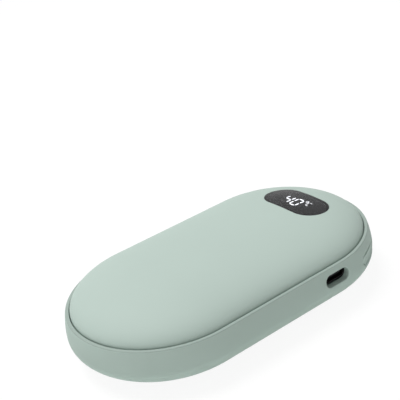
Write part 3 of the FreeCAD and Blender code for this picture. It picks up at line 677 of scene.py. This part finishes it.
def screws_mesh(head_height, shank_diameter, pitch):
    """Four like screws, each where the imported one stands."""
    places = solids_of("board_screws")
    size = places[0][1] - places[0][0]
    head = size.x / 2
    shank = size.z - head_height
    crest, core = shank_diameter / 2, shank_diameter * 0.38
    mesh = bmesh.new()
    pan = [(head * wide, shank + head_height * tall) for wide, tall in
           ((0.5, 1.0), (0.8, 0.84), (0.96, 0.46), (1.0, 0.12), (0.98, 0.0))]
    caps = spun_screw(mesh, pan + [(core, shank), (core, core), (core * 0.3, 0)])
    top = max(caps, key=lambda face: face.verts[0].co.z)
    push_cross(mesh, top, reach=head * 0.42, width=head * 0.2, depth=head_height * 0.5)
    roll_thread(mesh, core, crest, pitch, start=core * 0.6, turns=int((shank - core) / pitch))
    bmesh.ops.recalc_face_normals(mesh, faces=mesh.faces)
    one = mesh.verts[:] + mesh.edges[:] + mesh.faces[:]
    screws = [mesh.verts[:]]
    screws += [moved(bmesh.ops.duplicate(mesh, geom=one)) for _ in places[1:]]
    for screw, (low, high) in zip(screws, places):
        middle = (low + high) / 2
        bmesh.ops.translate(mesh, verts=screw, vec=(middle.x, middle.y, low.z))
    return mesh


head_height = 1.3 * millimetre
shank_diameter = 1.9 * millimetre
thread_pitch = 0.6 * millimetre
steel = (0.60, 0.60, 0.61)
add_piece("pan_head_screws", screws_mesh(head_height, shank_diameter, thread_pitch),
          plated("screw_steel", steel, 0.3, along_z), "board_screws")

# %% [markdown]
# ## Foam strips
# Two strips of closed-cell foam are squeezed between the cells and the upper heating film, and their cut
# edges are soft. A block would look like plastic, so each strip is a fine sheet that follows the packed
# one's top, drawn down to the cell and rounded along its rim. Voronoi cells give the cut foam its pores.


# %% Model the foam strips
def foam_mesh(rim):
    """Thin strips with rounded rims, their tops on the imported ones."""
    long_steps, cross_steps = 40, 4
    corner_from = math.radians(60)
    height = drop_onto("foam_pads")
    mesh = bmesh.new()
    for low, high in solids_of("foam_pads"):
        middle = (low + high) / 2
        half = (high.y - low.y) / 2
        sheet = bmesh.ops.create_grid(mesh, x_segments=long_steps, y_segments=cross_steps,
                                      size=0.5)["verts"]
        bmesh.ops.scale(mesh, verts=sheet, vec=(high.x - low.x, high.y - low.y, 1.0))
        bmesh.ops.translate(mesh, verts=sheet, vec=(middle.x, middle.y, 0))
        for vertex in sheet:
            axis = Vector((max(low.x + half, min(high.x - half, vertex.co.x)), middle.y, 0))
            vertex.co.z = height(vertex.co, axis)
        faces = list({face for vertex in sheet for face in vertex.link_faces})
        for vertex in moved(bmesh.ops.extrude_face_region(mesh, geom=faces)):
            vertex.co.z = low.z
    bmesh.ops.recalc_face_normals(mesh, faces=mesh.faces)
    corners = [edge for edge in mesh.edges if edge.calc_face_angle(0.0) > corner_from]
    bmesh.ops.bevel(mesh, geom=corners, offset=rim, offset_type="OFFSET", segments=3, profile=0.5,
                    affect="EDGES", material=-1)
    return mesh


def closed_cell(name, colour):
    """Foam with fine closed cells."""
    material, shader, wire = new_material(name, Specular_IOR_Level=0.2)
    cell = wire.add("TexVoronoi", Vector=place_of(wire), Scale=1 / (0.3 * millimetre))
    paint(wire, shader,
          Base_Color=blend(wire, cell, *shades(colour, 0.25)),
          Roughness=0.85 + cell * 0.1,
          Normal=relief(wire, cell, 0.05 * millimetre))
    return material


foam_rim = 0.09 * millimetre
grey_foam = closed_cell("grey_foam", (0.16, 0.16, 0.16))
foam = add_piece("foam_strips", foam_mesh(foam_rim), grey_foam, "foam_pads")

# %% [markdown]
# ## Masks from a place on the part
# Inside the housing one part often has two finishes: a chip has tinned legs, a cell has bare steel ends,
# a capacitor has soldered ones. Separate objects for these would be a waste. A coordinate that is turned
# into a soft 0 to 1 step is enough, and the same step can drive colour and metal together.


# %% Parts with two finishes
def two_finishes(name, mask_of, dull, metal, roughness):
    """Dull finish that gives way to bare metal where a mask says so."""
    material, shader, wire = new_material(name)
    mask = mask_of(wire)
    drift = noise(wire, 3 * millimetre)
    paint(wire, shader,
          Base_Color=blend(wire, mask, blend(wire, drift, *shades(dull, 0.1)), metal),
          Metallic=mask,
          Roughness=roughness + drift * 0.1,
          Normal=relief(wire, noise(wire, 0.2 * millimetre, detail=3), 0.006 * millimetre))
    return material


def bare_ends(name, cap, base, fade):
    """Mask of a cell's steel: a length at its raised end and one at its flat end."""
    low, high = box_of(name)
    return lambda wire: (step(wire, along(wire, 0), high.x - cap, high.x - cap + fade)
                         + step(wire, low.x + base - along(wire, 0), 0.0, fade))


def tinned_legs(name, body_width, fade):
    """Mask of a chip's legs: everything beyond its body on both sides."""
    low, high = box_of(name)
    middle = (low.y + high.y) / 2
    half = body_width / 2
    return lambda wire: step(wire, abs(along(wire, 1) - middle), half, half + fade)


def soldered_ends(name, spacing, length, cap, fade):
    """Mask of the metal ends of a row of small capacitors."""
    first = box_of(name)[0].x - (spacing - length) / 2
    bare_from = length / 2 - cap

    def mask(wire):
        in_step = wire.math("MODULO", along(wire, 0) - first, spacing)
        return step(wire, abs(in_step - spacing / 2), bare_from, bare_from + fade)

    return mask


cell_cap, cell_base, cell_fade = 1.0 * millimetre, 0.25 * millimetre, 0.1 * millimetre
chip_width = 3.9 * millimetre
tin_fade = 0.03 * millimetre
capacitor_spacing, capacitor_length, capacitor_cap = 3.5 * millimetre, 2.0 * millimetre, 0.4 * millimetre
tin = (0.70, 0.70, 0.69)
wrap_blue, chip_black, capacitor_tan = (0.07, 0.18, 0.40), (0.022, 0.022, 0.023), (0.45, 0.32, 0.20)
for name in ("left_cell", "right_cell"):
    ends = bare_ends(name, cell_cap, cell_base, cell_fade)
    dress(two_finishes(name + "_wrap", ends, wrap_blue, steel, 0.3), name)
for name in ("controller_chip", "charger_chip"):
    legs = tinned_legs(name, chip_width, tin_fade)
    dress(two_finishes(name + "_package", legs, chip_black, tin, 0.45), name)
capacitor_ends = soldered_ends("board_capacitors", capacitor_spacing, capacitor_length, capacitor_cap,
                               tin_fade)
dress(two_finishes("capacitor_body", capacitor_ends, capacitor_tan, tin, 0.35), "board_capacitors")

# %% [markdown]
# ## Board and heating films
# The board's black mask runs over copper tracks, which show as faint ridges, with small gold rings where
# a track goes through. The heating films are amber sheets with a track etched to and fro under the skin.
# Both are patterns of straight lines, so a brick texture's joints and a folded coordinate draw them.


# %% Board and heating films
def solder_mask(name):
    """Black mask with ridges over its tracks and bare gold rings."""
    material, shader, wire = new_material(name, Specular_IOR_Level=0.4)
    track = wire.add("TexBrick", {"offset": 0.5, "squash": 1.0}, output="Fac", Vector=place_of(wire),
                     Scale=1 / (4 * millimetre), Mortar_Size=0.03, Mortar_Smooth=0.2)
    spot = wire.add("TexVoronoi", Vector=place_of(wire), Scale=1 / (3 * millimetre), Randomness=0.6)
    ring = step(wire, 0.12 - spot, 0.0, 0.02) - step(wire, 0.06 - spot, 0.0, 0.02)
    grain = noise(wire, 0.3 * millimetre, detail=3)
    mask = blend(wire, track, (0.014, 0.016, 0.015), (0.026, 0.030, 0.028))
    paint(wire, shader,
          Base_Color=blend(wire, ring, mask, gold),
          Metallic=ring,
          Roughness=0.32 + grain * 0.12,
          Normal=relief(wire, track + ring, 0.03 * millimetre))
    return material


def heating_film(name, pitch):
    """Amber film over a track that runs to and fro. The fold starts well beyond the film's edge."""
    material, shader, wire = new_material(name, Coat_Weight=0.4, Coat_Roughness=0.15)
    fold_from = -100 * millimetre
    half = pitch / 2
    fold = wire.math("PINGPONG", along(wire, 1) - fold_from, half) / half
    track = step(wire, fold, 0.32, 0.42)
    drift = noise(wire, 10 * millimetre)
    amber = blend(wire, drift, *shades((0.55, 0.27, 0.05), 0.08))
    paint(wire, shader,
          Base_Color=blend(wire, track, amber, (0.30, 0.15, 0.06)),
          Roughness=0.28 + drift * 0.1,
          Normal=relief(wire, track, 0.03 * millimetre))
    return material


heater_pitch = 2.4 * millimetre
dress(solder_mask("black_solder_mask"), "main_board")
dress(heating_film("etched_amber_film", heater_pitch), "front_heater", "rear_heater")

# %% [markdown]
# ## The plain inner parts
# What is left has one finish each: rolled sheet and strip, insulated leads, a ferrite block and small
# mouldings. The functions above already make all of these, so this cell only picks their colours.

# %% Sheet, strip, leads and small mouldings
dress(plated("rolled_aluminium", (0.72, 0.72, 0.73), 0.35, along_x, line_size=0.3 * millimetre),
      "front_spreader", "rear_spreader")
dress(plated("nickel_strip", (0.66, 0.64, 0.60), 0.28, along_y), "positive_strip", "negative_strip")
dress(moulded("black_lead_sleeve", (0.018, 0.018, 0.018), roughness=0.4, gloss=0.4),
      "negative_lead", "thermistor")
dress(moulded("white_lead_sleeve", (0.72, 0.72, 0.70), roughness=0.4, gloss=0.4),
      "front_heater_leads", "rear_heater_leads")
dress(moulded("natural_moulding", (0.78, 0.78, 0.76), roughness=0.45), "switch_plunger")
dress(moulded("pressed_ferrite", (0.10, 0.10, 0.11), roughness=0.7, grain_size=0.4 * millimetre,
              gloss=0.3), "power_coil")
